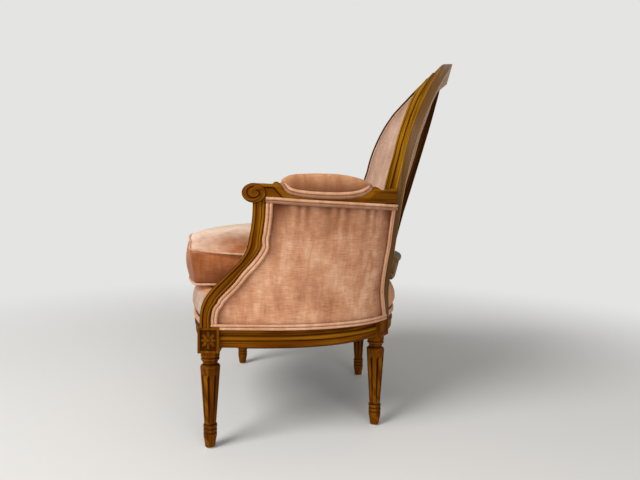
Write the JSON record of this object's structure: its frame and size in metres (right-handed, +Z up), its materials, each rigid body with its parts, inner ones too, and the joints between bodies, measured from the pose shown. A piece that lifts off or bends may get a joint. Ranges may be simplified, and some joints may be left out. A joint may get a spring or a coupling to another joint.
{
  "type": "bergere chair",
  "caption": "Low upholstered armchair with closed arms, a horseshoe seat with a loose box cushion, a raked concave back under a moulded arch, and turned fluted legs.",
  "frame": {"origin": "floor level, centre of the chair's bounding box in plan", "axes": "+Z up, +Y to the rear of the chair, +X to the sitter's left"},
  "size_m": [0.66, 0.7082, 0.9395],
  "materials": {
    "frame_wood": "antiqued beech under satin lacquer, dark glaze left in the mouldings",
    "back_veneer": "dark stained veneer, satin",
    "block_wood": "bare sawn beech",
    "velvet": "salmon cotton velvet with a crushed nap",
    "webbing": "woven jute webbing",
    "dust_cloth": "black non-woven cloth",
    "spring_steel": "drawn spring wire",
    "glide_nylon": "off-white nylon"
  },
  "bodies": {
    "frame": {"arm_pad_inner_welt_left": "velvet", "arm_pad_inner_welt_right": "velvet", "arm_pad_left": "velvet", "arm_pad_outer_welt_left": "velvet", "arm_pad_outer_welt_right": "velvet", "arm_pad_right": "velvet", "arm_post_left": "frame_wood", "arm_post_right": "frame_wood", "arm_rail_left": "frame_wood", "arm_rail_right": "frame_wood", "back_lower_rail": "frame_wood", "back_pad": "velvet", "back_panel": "back_veneer", "back_welt": "velvet", "crest_rail": "frame_wood", "dust_cover": "dust_cloth", "front_corner_block_left": "block_wood", "front_corner_block_right": "block_wood", "front_glide_left": "glide_nylon", "front_glide_right": "glide_nylon", "front_leg_left": "frame_wood", "front_leg_right": "frame_wood", "front_rail": "frame_wood", "front_welt": "velvet", "inner_arm_left": "velvet", "inner_arm_right": "velvet", "rear_corner_block_left": "block_wood", "rear_corner_block_right": "block_wood", "rear_glide_left": "glide_nylon", "rear_glide_right": "glide_nylon", "rear_leg_left": "frame_wood", "rear_leg_right": "frame_wood", "rear_rail": "frame_wood", "rear_welt": "velvet", "seat_deck": "velvet", "seat_spring_1": "spring_steel", "seat_spring_2": "spring_steel", "seat_spring_3": "spring_steel", "seat_spring_4": "spring_steel", "seat_spring_5": "spring_steel", "side_panel_left": "velvet", "side_panel_right": "velvet", "side_rail_left": "frame_wood", "side_rail_right": "frame_wood", "side_welt_left": "velvet", "side_welt_right": "velvet", "webbing": "webbing"},
    "cushion": {"seat_cushion": "velvet"}
  },
  "joints": [
    {"name": "cushion_lift", "type": "slide", "parent": "frame", "child": "cushion", "axis": [0, 0, 1], "range_m": [0, 0.36]}
  ]
}
